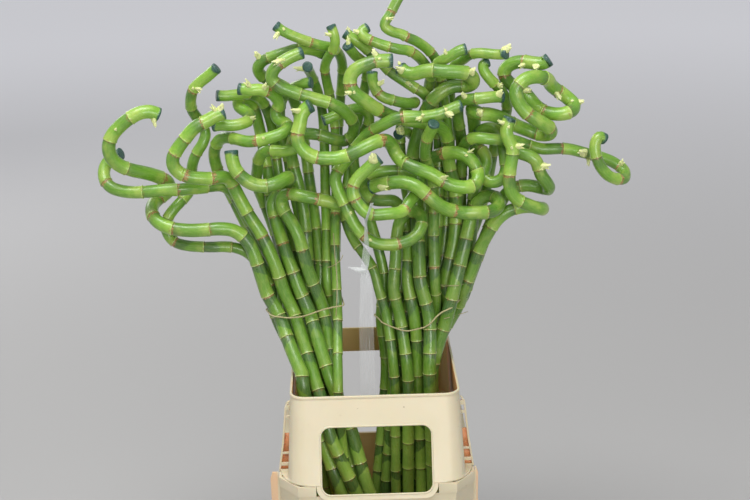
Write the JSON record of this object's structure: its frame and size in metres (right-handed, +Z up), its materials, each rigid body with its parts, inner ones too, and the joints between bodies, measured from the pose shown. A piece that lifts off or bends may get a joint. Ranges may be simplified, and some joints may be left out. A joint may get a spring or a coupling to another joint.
{
  "type": "potted lucky bamboo",
  "caption": "Curled lucky bamboo canes in two tied bundles, standing in a tall plastic flower bucket with a windowed collar.",
  "frame": {"origin": "middle of the bucket's underside, on the floor", "axes": "+Z up along the plant's height, +X to the right along the wide row of curls, +Y from the front of the bucket to its back"},
  "size_m": [0.7736, 0.4081, 0.937],
  "materials": {
    "holder": "satin cream plastic",
    "water": "clear water",
    "cane": "glossy green waxy skin",
    "tie": "thin tan tie",
    "film": "clear film"
  },
  "bodies": {
    "root": {"bucket": "holder", "collar": "holder", "water": "water", "cane_left_hook": "cane", "cane_left_tall": "cane", "cane_left_arch": "cane", "cane_left_low": "cane", "cane_left_knot": "cane", "cane_left_middle": "cane", "cane_left_pair": "cane", "cane_left_stub": "cane", "cane_left_high": "cane", "cane_left_crown": "cane", "cane_left_coil": "cane", "cane_left_back": "cane", "cane_left_flag": "cane", "cane_left_sprig": "cane", "cane_left_cap": "cane", "cane_left_bend": "cane", "cane_mid_dark": "cane", "cane_mid_serpent": "cane", "cane_mid_loop": "cane", "cane_mid_ring": "cane", "cane_mid_sweep": "cane", "cane_mid_front": "cane", "cane_mid_cup": "cane", "cane_mid_lean": "cane", "cane_mid_under": "cane", "cane_mid_sprout": "cane", "cane_top_step": "cane", "cane_top_reach": "cane", "cane_right_drum": "cane", "cane_right_peg": "cane", "cane_right_bar": "cane", "cane_right_slip": "cane", "cane_right_spiral": "cane", "cane_right_plug": "cane", "cane_right_post": "cane", "cane_right_hook": "cane", "cane_right_inner": "cane", "cane_right_far": "cane", "cane_right_face": "cane", "tie_left": "tie", "tie_right": "tie", "film_strip": "film"}
  },
  "joints": []
}
